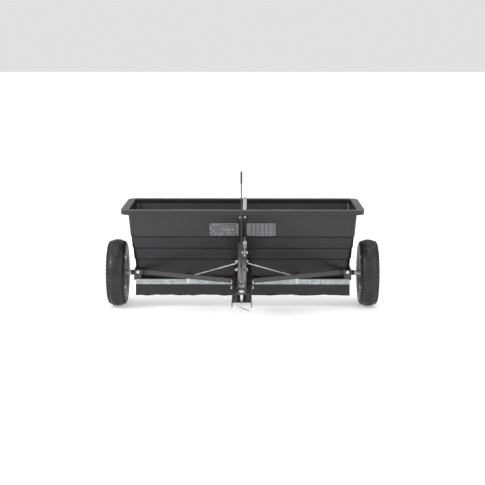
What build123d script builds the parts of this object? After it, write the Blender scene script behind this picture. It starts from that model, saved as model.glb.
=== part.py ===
"""Tow-behind drop spreader: poly hopper, steel pan and shutter, drawbar and tongue, two pneumatic wheels.

Millimetres, +Z up, wheels on Z = 0, tow side at -Y. The origin is on the ground under the middle
of the machine, between the rear of the hopper rim and the front of the drawbar.
"""
import os
from math import atan, cos, degrees, pi, radians, sin, tan

from build123d import *

os.makedirs("parts", exist_ok=True)

# ---------------------------------------------------------------- driving dimensions
wheel_radius = 168.0
tyre_width = 92.0
track_half = 628.0            # middle of the machine to the middle of a wheel
axle_radius = 8.0
run_clearance = 0.05          # radial, shaft in bush
slide_clearance = 0.10        # radial, rod or pin in a punched hole

hopper_top = 514.0            # top of the rim
rim_half_length = 588.0
rim_half_depth = 218.5
rim_overhang = 34.0
lip_depth = 22.0
hopper_wall = 3.5
hopper_base = 146.0           # underside of the hopper, on the pan
flange_thick = 4.0
base_half_length = 530.0      # outside of the hopper at its flange
base_half_depth = 45.0
step_heights = (254.0, 314.0, 374.0)
step_out = 3.0
corner_radius = 24.0
rim_corner_radius = 50.0

pan_half_length = 533.5
pan_half_depth = 66.0
pan_sheet = 2.0
pan_depth = 25.0              # top of the pan to the lower edge of its turned-down sides
outlet_count = 16
outlet_pitch = 62.0
outlet_length = 30.0
outlet_width = 16.0
shutter_travel = 21.0
shutter_sheet = 2.0
skirt_drop = 58.0             # rubber below the pan's edge
skirt_thick = 3.0

drawbar_half_width = 44.0
drawbar_top = 200.0
drawbar_depth = 26.0
drawbar_sheet = 4.0
drawbar_reach = 790.0         # axle to the front edge
hitch_pin_reach = 772.0
hitch_pin_radius = 6.0
hitch_gap = 32.0
tab_thick = 6.0

tube_size = 41.0
tube_wall = 2.5
tube_front = 700.0            # axle to the front end of the tongue
tube_bend = 525.0             # axle to the bend in its top face
tube_rear = 165.0
tube_rise = 139.0             # from the bend to the rear end

lever_reach = 410.0           # axle to the lever pivot
lever_x = -4.0
lever_thick = 5.0
lever_width = 22.0
lever_top = 727.0
lever_arm = 45.0              # pivot to link pin
lever_swing = 28.0
grip_length = 57.0

# ---------------------------------------------------------------- dependent sizes and datum planes
axle_z = wheel_radius
axle_y = (drawbar_reach - rim_half_depth + 3.0) / 2   # rounded tab end stands 3 proud of the drawbar
tab_front = drawbar_reach + 3.0

plan = Plane(origin=(0, axle_y, 0))
side = Plane(origin=(0, axle_y, 0), x_dir=(0, 1, 0), z_dir=(1, 0, 0))
front = Plane(origin=(0, axle_y, 0), x_dir=(1, 0, 0), z_dir=(0, -1, 0))
axle_line = Axis((0, axle_y, axle_z), (1, 0, 0))
wheel_section = Plane(origin=(0, axle_y, axle_z), x_dir=(1, 0, 0), z_dir=(0, -1, 0))

lip_base = hopper_top - lip_depth
flange_top = hopper_base + flange_thick
top_half_length = rim_half_length - rim_overhang
top_half_depth = rim_half_depth - rim_overhang
taper_height = lip_base - flange_top
steps_total = step_out * len(step_heights)
taper_x = (top_half_length - base_half_length - steps_total) / taper_height
taper_y = (top_half_depth - base_half_depth - steps_total) / taper_height

ramp_angle = atan(tube_rise / (tube_bend - tube_rear))
rise = (0, cos(ramp_angle), sin(ramp_angle))
tube_top = drawbar_top + tube_size


def save(part, name):
    """Label a finished piece and write it."""
    part.label = name
    export_step(part, f"parts/{name}.step")


def wall_half(z, base, taper):
    """Outside half size of the hopper at height z, the steps below it counted."""
    passed = sum(1 for height in step_heights if z > height + 0.01)
    return base + taper * (z - flange_top) + step_out * passed


def wall_at(z):
    """Distance from the axle plane to the outside of the hopper's front wall."""
    return wall_half(z, base_half_depth, taper_y)


def hex_bolt(where, radius, grip, head_height=None):
    """Hexagon bolt and nut: the head stands on the plane, the shank goes down through grip."""
    head = head_height or 1.3 * radius
    across = 3.6 * radius
    with BuildPart() as bolt:
        with BuildSketch(where):
            RegularPolygon(across / 2, 6, major_radius=False)
        extrude(amount=head)
        with BuildSketch(where):
            Circle(radius)
        extrude(amount=-(grip + head + 1.5 * radius))
        with BuildSketch(where.offset(-grip)):
            RegularPolygon(across / 2, 6, major_radius=False)
        extrude(amount=-(1.6 * radius))
    return bolt.part


def group(solids):
    """Like pieces kept together as separate solids."""
    return Compound(children=list(solids))


# ---------------------------------------------------------------- hopper: moulded tub, open at the base
levels = (flange_top,) + step_heights + (lip_base,)
end_pad_face = 537.5
bush_radius = 13.0

with BuildPart() as hopper:
    for index in range(len(levels) - 1):
        low, high = levels[index], levels[index + 1]
        for z in (low, high):
            ledge = step_out if z == low and index else 0
            half_x = wall_half(z, base_half_length, taper_x) + ledge
            half_y = wall_half(z, base_half_depth, taper_y) + ledge
            with BuildSketch(plan.offset(z)):
                RectangleRounded(2 * half_x, 2 * half_y, corner_radius)
        loft(ruled=True)
    with BuildSketch(plan.offset(hopper_base)):
        Rectangle(2 * pan_half_length, 2 * (base_half_depth + 18))
    extrude(amount=flange_thick)
    with BuildSketch(plan.offset(lip_base)):
        RectangleRounded(2 * rim_half_length, 2 * rim_half_depth, rim_corner_radius)
    extrude(amount=lip_depth)
    with BuildSketch(plan.offset(lip_base)):
        RectangleRounded(
            2 * (rim_half_length - hopper_wall),
            2 * (rim_half_depth - hopper_wall),
            rim_corner_radius - hopper_wall,
        )
        RectangleRounded(2 * top_half_length, 2 * top_half_depth, corner_radius, mode=Mode.SUBTRACT)
    extrude(amount=lip_depth - flange_thick, mode=Mode.SUBTRACT)
    for x_side in (-1, 1):
        with BuildSketch(side.offset(x_side * end_pad_face)):
            with Locations((0, axle_z + 4)):
                Rectangle(70, 44)
        extrude(amount=-x_side * 12)
    inner_levels = (hopper_base,) + tuple(h + hopper_wall for h in step_heights) + (lip_base, hopper_top)
    for low, high in zip(inner_levels, inner_levels[1:]):
        for z in (low, high):
            ledge = step_out if z == high and z < lip_base else 0
            half_x = wall_half(min(z, lip_base), base_half_length, taper_x) - hopper_wall - ledge
            half_y = wall_half(min(z, lip_base), base_half_depth, taper_y) - hopper_wall - ledge
            with BuildSketch(plan.offset(z)):
                RectangleRounded(2 * half_x, 2 * half_y, corner_radius - hopper_wall)
        loft(ruled=True, mode=Mode.SUBTRACT)
    with BuildSketch(side.offset(-end_pad_face)):
        with Locations((0, axle_z)):
            Circle(bush_radius + slide_clearance)
    extrude(amount=2 * end_pad_face, mode=Mode.SUBTRACT)

# bolts along the hopper flange and the pan
pan_bolt_radius = 3.0
pan_bolt_x = (-515.0, -300.0, -100.0, 100.0, 300.0, 515.0)
pan_bolt_y = base_half_depth + 10
pan_bolt_spots = [(x, y) for x in pan_bolt_x for y in (-pan_bolt_y, pan_bolt_y)]

rim_mid = (rim_half_depth + top_half_depth) / 2
strap_x = 10.0
strap_width = 18.0
strap_thick = 3.0
strap_bolt_radius = 3.0
mount_bolt_x = (-12.0, 12.0)
mount_bolt_z = 481.0
mount_bolt_radius = 3.0


def wall_plane(z, proud=0.0):
    """Plane on the front wall at height z, facing out, local y up the wall."""
    return Plane(
        origin=(0, axle_y - wall_at(z), z), x_dir=(1, 0, 0), z_dir=(0, -1, -taper_y)
    ).offset(proud)


with BuildPart() as hopper_drilled:
    add(hopper.part)
    with BuildSketch(plan.offset(flange_top)):
        with Locations(*pan_bolt_spots):
            Circle(pan_bolt_radius + slide_clearance)
    extrude(amount=-flange_thick, mode=Mode.SUBTRACT)
    with BuildSketch(plan.offset(hopper_top)):
        with Locations((strap_x, -rim_mid), (strap_x, rim_mid)):
            Circle(strap_bolt_radius + slide_clearance)
    extrude(amount=-flange_thick, mode=Mode.SUBTRACT)
    with BuildSketch(wall_plane(mount_bolt_z, 2)):
        with Locations(*[(x, 0) for x in mount_bolt_x]):
            Circle(mount_bolt_radius + slide_clearance)
    extrude(amount=-hopper_wall - 6, mode=Mode.SUBTRACT)
save(hopper_drilled.part, "hopper")

# flat steel strap that ties the long sides of the rim together
with BuildPart() as cross_strap:
    with BuildSketch(plan.offset(hopper_top)):
        with Locations((strap_x, 0)):
            SlotOverall(2 * rim_mid + strap_width, strap_width, rotation=90)
        with Locations((strap_x, -rim_mid), (strap_x, rim_mid)):
            Circle(strap_bolt_radius + slide_clearance, mode=Mode.SUBTRACT)
    extrude(amount=strap_thick)
save(cross_strap.part, "cross_strap")

strap_top = plan.offset(hopper_top + strap_thick)
strap_bolts = [
    hex_bolt(strap_top.shift_origin((strap_x, axle_y + y, hopper_top + strap_thick)),
             strap_bolt_radius, strap_thick + flange_thick)
    for y in (-rim_mid, rim_mid)
]
save(group(strap_bolts), "strap_bolts")

# ---------------------------------------------------------------- pan, shutter and skirt
pan_top = hopper_base
pan_under = pan_top - pan_sheet
pan_low = pan_top - pan_depth
rail_bolt_x = 270.0
rail_bolt_z = 136.0
rail_bolt_radius = 4.0
bracket_bolt_x = 30.0
notch_half = 15.0
notch_low = 130.0
outlet_spots = [((i - (outlet_count - 1) / 2) * outlet_pitch, 0) for i in range(outlet_count)]

with BuildPart() as bottom_pan:
    with BuildSketch(plan.offset(pan_low)):
        Rectangle(2 * pan_half_length, 2 * pan_half_depth)
    extrude(amount=pan_depth)
    with BuildSketch(plan.offset(pan_low)):
        Rectangle(2 * pan_half_length, 2 * (pan_half_depth - pan_sheet))
    extrude(amount=pan_depth - pan_sheet, mode=Mode.SUBTRACT)
    with BuildSketch(plan.offset(pan_top)):
        with Locations(*outlet_spots):
            SlotOverall(outlet_length, outlet_width)
        with Locations(*pan_bolt_spots):
            Circle(pan_bolt_radius + slide_clearance)
    extrude(amount=-pan_sheet, mode=Mode.SUBTRACT)
    with BuildSketch(front.offset(pan_half_depth)):
        with Locations((0, (notch_low + pan_under) / 2)):
            Rectangle(2 * notch_half, pan_under - notch_low)
        with Locations(*[(x, rail_bolt_z) for x in (-rail_bolt_x, rail_bolt_x)]):
            Circle(rail_bolt_radius + slide_clearance)
        with Locations(*[(x, rail_bolt_z) for x in (-bracket_bolt_x, bracket_bolt_x)]):
            Circle(rail_bolt_radius + slide_clearance)
    extrude(amount=-pan_sheet, mode=Mode.SUBTRACT)
save(bottom_pan.part, "bottom_pan")

end_leg = 38.0                # end plate's foot under the pan
plate_thick = 3.0
pan_bolts = []
for x, y in pan_bolt_spots:
    head = Plane(origin=(x, axle_y + y, flange_top))
    foot = plate_thick if abs(x) > 500 else 0
    pan_bolts.append(hex_bolt(head, pan_bolt_radius, flange_thick + pan_sheet + foot))
save(group(pan_bolts), "pan_bolts")

shutter_gap = 0.3
shutter_top = pan_under - shutter_gap
shutter_half_length = 490.0
shutter_margin = 8.0
shutter_front = shutter_travel + outlet_width / 2 - 2 * shutter_margin - 29
shutter_rear = shutter_travel + outlet_width / 2 + shutter_margin
tongue_reach = 95.0
tongue_half = 12.0
link_x = 3.0
rear_pin_reach = 87.0

with BuildPart() as shutter:
    with BuildSketch(plan.offset(shutter_top)):
        with Locations((0, (shutter_rear + shutter_front) / 2)):
            Rectangle(2 * shutter_half_length, shutter_rear - shutter_front)
        with Locations((0, (shutter_front - tongue_reach) / 2)):
            Rectangle(2 * tongue_half, tongue_reach + shutter_front)
        with Locations(*[(x, shutter_travel) for x, _ in outlet_spots]):
            SlotOverall(outlet_length, outlet_width, mode=Mode.SUBTRACT)
        with Locations((link_x, -rear_pin_reach)):
            Circle(3.1, mode=Mode.SUBTRACT)
    extrude(amount=-shutter_sheet)
save(shutter.part, "shutter")

# straps welded under the pan that carry the shutter
guide_x = (-420.0, -180.0, 180.0, 420.0)
guide_thick = 2.0
guide_half = 6.0
guide_drop = shutter_gap + shutter_sheet + 0.3
guide_bend = 46.0
with BuildPart() as shutter_guides:
    for x in guide_x:
        with BuildSketch(side.offset(x - guide_half)):
            with BuildLine():
                Polyline(
                    (-60, pan_under), (-60, pan_under - guide_thick), (-guide_bend, pan_under - guide_thick),
                    (-guide_bend + 2, pan_under - guide_drop - guide_thick),
                    (guide_bend - 2, pan_under - guide_drop - guide_thick),
                    (guide_bend, pan_under - guide_thick), (60, pan_under - guide_thick), (60, pan_under),
                    (guide_bend - 2, pan_under), (guide_bend - 4, pan_under - guide_drop),
                    (-guide_bend + 4, pan_under - guide_drop), (-guide_bend + 2, pan_under),
                    close=True,
                )
            make_face()
        extrude(amount=2 * guide_half)
save(shutter_guides.part, "shutter_guides")

skirt_face = pan_half_depth - pan_sheet - 0.1
skirt_top = 139.0
with BuildPart() as skirt:
    with BuildSketch(front.offset(skirt_face)):
        with Locations((0, (pan_low - skirt_drop + skirt_top) / 2)):
            Rectangle(2 * pan_half_length, skirt_top - pan_low + skirt_drop)
        with Locations((0, (notch_low + skirt_top) / 2 + 0.5)):
            Rectangle(2 * notch_half, skirt_top - notch_low + 1, mode=Mode.SUBTRACT)
        for x in (rail_bolt_x, bracket_bolt_x):
            with Locations((-x, rail_bolt_z), (x, rail_bolt_z)):
                Circle(rail_bolt_radius + slide_clearance, mode=Mode.SUBTRACT)
    extrude(amount=-skirt_thick)
save(skirt.part, "skirt")

# ---------------------------------------------------------------- end plates, bushes and axle
plate_face = end_pad_face
plate_front = 72.0
plate_rear = 60.0
plate_top = 196.0
flange_in = 505.0             # end plate's front flange, inner edge
end_bolt_x = 520.0
brace_z = 185.0
brace_bolt_radius = 4.0

for name, x_side in (("left_end_plate", -1), ("right_end_plate", 1)):
    with BuildPart() as end_plate:
        with BuildSketch(side.offset(x_side * plate_face)):
            with BuildLine():
                Polyline(
                    (-plate_front, pan_under - plate_thick), (-plate_front, plate_top),
                    (plate_rear - 12, plate_top), (plate_rear, pan_top + 20),
                    (plate_rear, pan_under - plate_thick), close=True,
                )
            make_face()
            with Locations((0, axle_z)):
                Circle(bush_radius + slide_clearance, mode=Mode.SUBTRACT)
        extrude(amount=x_side * plate_thick)
        with BuildSketch(front.offset(plate_front)):
            with Locations((x_side * (plate_face + flange_in) / 2, (plate_top + flange_top) / 2)):
                Rectangle(plate_face - flange_in, plate_top - flange_top)
            with Locations((x_side * end_bolt_x, brace_z)):
                Circle(brace_bolt_radius + slide_clearance, mode=Mode.SUBTRACT)
        extrude(amount=-plate_thick)
        with BuildSketch(plan.offset(pan_under)):
            with Locations((x_side * (plate_face - end_leg / 2), 0)):
                Rectangle(end_leg, 2 * 59)
            with Locations(*[(x_side * 515, y) for y in (-pan_bolt_y, pan_bolt_y)]):
                Circle(pan_bolt_radius + slide_clearance, mode=Mode.SUBTRACT)
        extrude(amount=-plate_thick)
    save(end_plate.part, name)

bush_out = 559.0
bush_in = 522.0
bush_flange = 4.0
for name, x_side in (("left_bearing", -1), ("right_bearing", 1)):
    with BuildPart() as bearing:
        with BuildSketch(side.offset(x_side * bush_in)):
            with Locations((0, axle_z)):
                Circle(bush_radius)
        extrude(amount=x_side * (bush_out - bush_in))
        with BuildSketch(side.offset(x_side * (plate_face + plate_thick))):
            with Locations((0, axle_z)):
                Circle(22)
        extrude(amount=x_side * bush_flange)
        with BuildSketch(side.offset(x_side * bush_in)):
            with Locations((0, axle_z)):
                Circle(axle_radius + run_clearance)
        extrude(amount=x_side * (bush_out - bush_in), mode=Mode.SUBTRACT)
    save(bearing.part, name)

axle_half = track_half + tyre_width / 2 - 2
hub_in = bush_out + 3
hub_out = track_half + 34
hub_radius = 14.0
drive_pin_x = 571.0
drive_pin_radius = 2.5
cotter_x = hub_out + 8
cotter_radius = 1.6
with BuildPart() as axle:
    with BuildSketch(side.offset(-axle_half)):
        with Locations((0, axle_z)):
            Circle(axle_radius)
    extrude(amount=2 * axle_half)
    with BuildSketch(plan.offset(axle_z - 20)):
        with Locations((drive_pin_x, 0)):
            Circle(drive_pin_radius)
        with Locations((-cotter_x, 0), (cotter_x, 0)):
            Circle(cotter_radius)
    extrude(amount=40, mode=Mode.SUBTRACT)
save(axle.part, "axle")

# stirring vanes pressed on the axle, each a collar with two blades
vane_count = 16
vane_reach = 17.0
vanes = []
for index in range(vane_count):
    x = (index - (vane_count - 1) / 2) * outlet_pitch
    with BuildPart() as vane:
        with BuildSketch(side.offset(x - 6)):
            with Locations((0, axle_z)):
                Circle(axle_radius + 3)
                Rectangle(2 * vane_reach, 3, rotation=45 + 90 * (index % 2))
                Circle(axle_radius, mode=Mode.SUBTRACT)
        extrude(amount=12)
    vanes.append(vane.part)
save(group(vanes), "agitator_vanes")

with BuildPart() as axle_washers:
    for x in (bush_out + 0.5, -bush_out - 2, hub_out + 0.5, -hub_out - 2):
        with BuildSketch(side.offset(x)):
            with Locations((0, axle_z)):
                Circle(14)
                Circle(axle_radius, mode=Mode.SUBTRACT)
        extrude(amount=1.5)
save(axle_washers.part, "axle_washers")

with BuildPart() as cotter_pins:
    for x in (-cotter_x, cotter_x):
        with BuildSketch(plan.offset(axle_z - 14)):
            with Locations((x, 0)):
                Circle(cotter_radius)
        extrude(amount=28)
        with BuildSketch(Plane(origin=(x - 1.5, axle_y, axle_z + 14), z_dir=(1, 0, 0))):
            Circle(3.2)
            Circle(1.4, mode=Mode.SUBTRACT)
        extrude(amount=3)
save(cotter_pins.part, "cotter_pins")

with BuildPart() as drive_pin:
    with BuildSketch(plan.offset(axle_z - 17)):
        with Locations((drive_pin_x, 0)):
            Circle(drive_pin_radius)
    extrude(amount=34)
save(drive_pin.part, "drive_pin")

# ---------------------------------------------------------------- wheels
disc_thick = 2.5
bead_radius = 76.0
rim_flange_radius = 86.0
rim_half = 37.0
bead_gap = 0.5
rim_bolt_circle = 40.0
rim_bolt_radius = 4.0
rim_bolt_count = 4
valve_circle = 64.0
valve_radius = 4.0


def rim_profile(x_side, centre):
    """Section of one pressed rim half, disc at the wheel's middle, flange outside."""
    t = disc_thick
    outline = [
        (0, hub_radius), (0, 58), (12, 70), (14, bead_radius), (rim_half - t, bead_radius),
        (rim_half - t, rim_flange_radius), (rim_half, rim_flange_radius), (rim_half, bead_radius - t),
        (16, bead_radius - t), (14.5, 69), (t, 57), (t, hub_radius),
    ]
    return [(centre + x_side * x, r) for x, r in outline]


for name, wheel_side in (("left", -1), ("right", 1)):
    centre = wheel_side * track_half
    crown = wheel_radius
    half = tyre_width / 2
    with BuildPart() as tyre:
        with BuildSketch(wheel_section):
            with BuildLine():
                bead = bead_radius + bead_gap
                wall_in = rim_half - disc_thick - bead_gap
                Line((centre - wall_in, bead), (centre - wall_in, rim_flange_radius + 2))
                ThreePointArc((centre - wall_in, rim_flange_radius + 2), (centre - half, crown - 46),
                              (centre - half + 7, crown - 8))
                ThreePointArc((centre - half + 7, crown - 8), (centre, crown),
                              (centre + half - 7, crown - 8))
                ThreePointArc((centre + half - 7, crown - 8), (centre + half, crown - 46),
                              (centre + wall_in, rim_flange_radius + 2))
                Line((centre + wall_in, rim_flange_radius + 2), (centre + wall_in, bead))
                Line((centre + wall_in, bead), (centre + wall_in - 10, bead))
                Line((centre + wall_in - 10, bead), (centre + wall_in - 10, rim_flange_radius + 4))
                ThreePointArc((centre + wall_in - 10, rim_flange_radius + 4),
                              (centre + half - 7, crown - 46),
                              (centre + half - 14, crown - 16))
                ThreePointArc((centre + half - 14, crown - 16), (centre, crown - 10),
                              (centre - half + 14, crown - 16))
                ThreePointArc((centre - half + 14, crown - 16), (centre - half + 7, crown - 46),
                              (centre - wall_in + 10, rim_flange_radius + 4))
                Line((centre - wall_in + 10, rim_flange_radius + 4), (centre - wall_in + 10, bead))
                Line((centre - wall_in + 10, bead), (centre - wall_in, bead))
            make_face()
        revolve(axis=axle_line)
    save(tyre.part, f"{name}_tyre")

    for half_name, x_side in (("inner", -wheel_side), ("outer", wheel_side)):
        with BuildPart() as rim:
            with BuildSketch(wheel_section):
                with BuildLine():
                    Polyline(*rim_profile(x_side, centre), close=True)
                make_face()
            revolve(axis=axle_line)
            with BuildSketch(side.offset(centre)):
                with Locations((0, axle_z)):
                    with PolarLocations(rim_bolt_circle, rim_bolt_count):
                        Circle(rim_bolt_radius + slide_clearance)
                if half_name == "outer":
                    with Locations((0, axle_z + valve_circle)):
                        Circle(valve_radius + slide_clearance)
            extrude(amount=x_side * 24, mode=Mode.SUBTRACT)
        save(rim.part, f"{name}_rim_{half_name}")

    rim_bolts = []
    for step in range(rim_bolt_count):
        turn = 2 * pi * step / rim_bolt_count
        spot = (
            centre + wheel_side * disc_thick,
            axle_y + rim_bolt_circle * cos(turn),
            axle_z + rim_bolt_circle * sin(turn),
        )
        where = Plane(origin=spot, x_dir=(0, 1, 0), z_dir=(wheel_side, 0, 0))
        rim_bolts.append(hex_bolt(where, rim_bolt_radius, 2 * disc_thick))
    save(group(rim_bolts), f"{name}_rim_bolts")

    with BuildPart() as valve:
        with BuildSketch(side.offset(centre + wheel_side * (disc_thick + 2))):
            with Locations((0, axle_z + valve_circle)):
                Circle(valve_radius)
        extrude(amount=wheel_side * 16)
        with BuildSketch(side.offset(centre + wheel_side * (disc_thick + 18))):
            with Locations((0, axle_z + valve_circle)):
                Circle(valve_radius - 0.6)
        extrude(amount=wheel_side * 10)
    save(valve.part, f"{name}_valve")

    bush_seat = 11.0 if wheel_side < 0 else axle_radius
    with BuildPart() as hub:
        with BuildSketch(side.offset(wheel_side * hub_in)):
            with Locations((0, axle_z)):
                Circle(hub_radius)
                Circle(bush_seat, mode=Mode.SUBTRACT)
        extrude(amount=wheel_side * (hub_out - hub_in))
        if wheel_side > 0:
            with BuildSketch(plan.offset(axle_z - 20)):
                with Locations((drive_pin_x, 0)):
                    Circle(drive_pin_radius)
            extrude(amount=40, mode=Mode.SUBTRACT)
    save(hub.part, f"{name}_hub")

wheel_bush_length = 30.0
with BuildPart() as left_wheel_bushes:
    for start in (-hub_in, -hub_out + wheel_bush_length):
        with BuildSketch(side.offset(start)):
            with Locations((0, axle_z)):
                Circle(11)
                Circle(axle_radius + run_clearance, mode=Mode.SUBTRACT)
        extrude(amount=-wheel_bush_length)
save(left_wheel_bushes.part, "left_wheel_bushes")

# ---------------------------------------------------------------- drawbar and its bracket
drawbar_rear = 78.0
drawbar_low = drawbar_top - drawbar_depth
web_low = drawbar_top - drawbar_sheet
bracket_half = 38.0
bracket_leg = 130.0
bracket_bolt_reach = 108.0
tongue_bolt_reach = (560.0, 660.0)
tongue_bolt_radius = 5.0
brace_bolt_reach = (306.0, 425.0)
link_slot_front = 389.0
link_slot_rear = 285.0

with BuildPart() as drawbar:
    with BuildSketch(plan.offset(drawbar_low)):
        with Locations((0, -(drawbar_reach + drawbar_rear) / 2)):
            Rectangle(2 * drawbar_half_width, drawbar_reach - drawbar_rear)
    extrude(amount=drawbar_depth)
    fillet(drawbar.edges().filter_by(Axis.Y).group_by(Axis.Z)[-1], radius=5)
    with BuildSketch(plan.offset(drawbar_low)):
        with Locations((0, -(drawbar_reach + drawbar_rear) / 2)):
            Rectangle(2 * (drawbar_half_width - drawbar_sheet), drawbar_reach - drawbar_rear)
    extrude(amount=drawbar_depth - drawbar_sheet, mode=Mode.SUBTRACT)
    with BuildSketch(plan.offset(drawbar_top)):
        with Locations((0, -hitch_pin_reach)):
            Circle(hitch_pin_radius + slide_clearance)
        with Locations(*[(0, -reach) for reach in tongue_bolt_reach]):
            Circle(tongue_bolt_radius + slide_clearance)
        with Locations((-20, -bracket_bolt_reach), (20, -bracket_bolt_reach)):
            Circle(rail_bolt_radius + slide_clearance)
        with Locations((link_x, -(link_slot_front + link_slot_rear) / 2)):
            SlotOverall(link_slot_front - link_slot_rear, 16, rotation=90)
    extrude(amount=-drawbar_sheet, mode=Mode.SUBTRACT)
    with BuildSketch(side.offset(-drawbar_half_width)):
        with Locations(*[(-reach, brace_z) for reach in brace_bolt_reach]):
            Circle(brace_bolt_radius + slide_clearance)
    extrude(amount=2 * drawbar_half_width, mode=Mode.SUBTRACT)
save(drawbar.part, "drawbar")

with BuildPart() as drawbar_bracket:
    with BuildSketch(front.offset(pan_half_depth)):
        with Locations((0, (pan_low + 2 + web_low) / 2)):
            Rectangle(2 * bracket_half, web_low - pan_low - 2)
        with Locations((0, (notch_low + 152) / 2)):
            Rectangle(2 * notch_half + 4, 152 - notch_low, mode=Mode.SUBTRACT)
        with Locations((-bracket_bolt_x, rail_bolt_z), (bracket_bolt_x, rail_bolt_z)):
            Circle(rail_bolt_radius + slide_clearance, mode=Mode.SUBTRACT)
    extrude(amount=drawbar_sheet)
    with BuildSketch(plan.offset(web_low)):
        with Locations((0, -(pan_half_depth + bracket_leg) / 2)):
            Rectangle(2 * bracket_half, bracket_leg - pan_half_depth)
        with Locations((-20, -bracket_bolt_reach), (20, -bracket_bolt_reach)):
            Circle(rail_bolt_radius + slide_clearance, mode=Mode.SUBTRACT)
    extrude(amount=-drawbar_sheet)
save(drawbar_bracket.part, "drawbar_bracket")

bracket_bolts = []
for x in (-20, 20):
    where = Plane(origin=(x, axle_y - bracket_bolt_reach, drawbar_top))
    bracket_bolts.append(hex_bolt(where, rail_bolt_radius, 2 * drawbar_sheet))
rail_stack = drawbar_sheet + pan_sheet + 0.1 + skirt_thick
for x in (-bracket_bolt_x, bracket_bolt_x):
    where = Plane(origin=(x, axle_y - pan_half_depth - drawbar_sheet, rail_bolt_z), x_dir=(1, 0, 0),
                  z_dir=(0, -1, 0))
    bracket_bolts.append(hex_bolt(where, rail_bolt_radius, rail_stack))
save(group(bracket_bolts), "bracket_bolts")

# ---------------------------------------------------------------- tongue tube, bent up to the hopper
pivot_z = tube_top + (tube_bend - lever_reach) * tan(ramp_angle) - tube_size / 2 / cos(ramp_angle)
pivot_point = (0, axle_y - lever_reach, pivot_z)
ramp_front = Plane(origin=pivot_point, x_dir=(1, 0, 0), z_dir=tuple(-v for v in rise))
ramp_top = Plane(origin=pivot_point, x_dir=(1, 0, 0), z_dir=(0, -rise[2], rise[1]))
pivot_radius = 5.0
strut_reach = 343.0
strut_bolt_radius = 4.0
strut_z = tube_top + (tube_bend - strut_reach) * tan(ramp_angle) - tube_size / 2 / cos(ramp_angle)
mount_thick = 4.0
mount_u = 238.0
half_tube = tube_size / 2


def tube_outline(inset):
    """Side view of the tube, its faces moved in by inset."""
    top = tube_top - inset
    low = drawbar_top + inset
    lean = tan(ramp_angle / 2)
    rear_top = tube_top + tube_rise - inset / cos(ramp_angle)
    rear_low = tube_top + tube_rise - (tube_size - inset) / cos(ramp_angle)
    return [
        (-tube_front, low), (-tube_bend + (tube_size - inset) * lean, low), (-tube_rear, rear_low),
        (-tube_rear, rear_top), (-tube_bend + inset * lean, top), (-tube_front, top),
    ]


with BuildPart() as tongue_tube:
    with BuildSketch(side.offset(-half_tube)):
        with BuildLine():
            Polyline(*tube_outline(0), close=True)
        make_face()
    extrude(amount=tube_size)
    ends = tongue_tube.faces().filter_by(Axis.Y)
    long_edges = tongue_tube.edges().filter_by(Axis.X, reverse=True) - ends.edges()
    fillet(long_edges, radius=3)
    with BuildSketch(side.offset(-half_tube + tube_wall)):
        with BuildLine():
            Polyline(*tube_outline(tube_wall), close=True)
        make_face()
    extrude(amount=tube_size - 2 * tube_wall, mode=Mode.SUBTRACT)
    with BuildSketch(side.offset(-half_tube)):
        with Locations((-lever_reach, pivot_z)):
            Circle(pivot_radius + slide_clearance)
        with Locations((-strut_reach, strut_z)):
            Circle(strut_bolt_radius + slide_clearance)
    extrude(amount=tube_size, mode=Mode.SUBTRACT)
    with BuildSketch(plan.offset(tube_top)):
        with Locations(*[(0, -reach) for reach in tongue_bolt_reach]):
            Circle(tongue_bolt_radius + slide_clearance)
    extrude(amount=-tube_size, mode=Mode.SUBTRACT)
    with BuildSketch(ramp_top.offset(half_tube)):
        with Locations((lever_x, 19)):
            SlotOverall(62, lever_thick + 3, rotation=90)
        with Locations((0, mount_u)):
            Circle(mount_bolt_radius + slide_clearance)
    extrude(amount=-tube_wall, mode=Mode.SUBTRACT)
    with BuildSketch(ramp_top.offset(-half_tube)):
        with Locations((lever_x, -19)):
            SlotOverall(62, lever_thick + 3, rotation=90)
    extrude(amount=tube_wall, mode=Mode.SUBTRACT)
save(tongue_tube.part, "tongue_tube")

# bent strap from the tube's top face up the hopper wall to just under the rim
wall_gap = 0.6
mount_low = mount_u - 22
with BuildPart() as tongue_mount:
    with BuildSketch(side.offset(-half_tube + 1)):
        with BuildLine():
            off_tube = mount_thick / 2 / cos(ramp_angle)
            tube_line = tube_top + off_tube
            slope = tan(ramp_angle)
            stand_off = (mount_thick / 2 + wall_gap) * (1 + taper_y**2) ** 0.5
            base = base_half_depth + steps_total - taper_y * flange_top + stand_off
            corner_y = -(base + taper_y * (tube_line + slope * tube_bend)) / (1 + taper_y * slope)
            corner = (corner_y, tube_line + slope * (corner_y + tube_bend))
            start_y = -lever_reach + mount_low * rise[1] - (half_tube + mount_thick / 2) * rise[2]
            start = (start_y, tube_line + slope * (start_y + tube_bend))
            tip = (-(base + taper_y * (lip_base - 3)), lip_base - 3)
            FilletPolyline(start, corner, tip, radius=6)
        trace(line_width=mount_thick)
    extrude(amount=tube_size - 2)
    with BuildSketch(wall_plane(mount_bolt_z, 12)):
        with Locations(*[(x, 0) for x in mount_bolt_x]):
            Circle(mount_bolt_radius + slide_clearance)
    extrude(amount=-16, mode=Mode.SUBTRACT)
    with BuildSketch(ramp_top.offset(half_tube)):
        with Locations((0, mount_u)):
            Circle(mount_bolt_radius + slide_clearance)
    extrude(amount=mount_thick + 1, mode=Mode.SUBTRACT)
save(tongue_mount.part, "tongue_mount")

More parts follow.
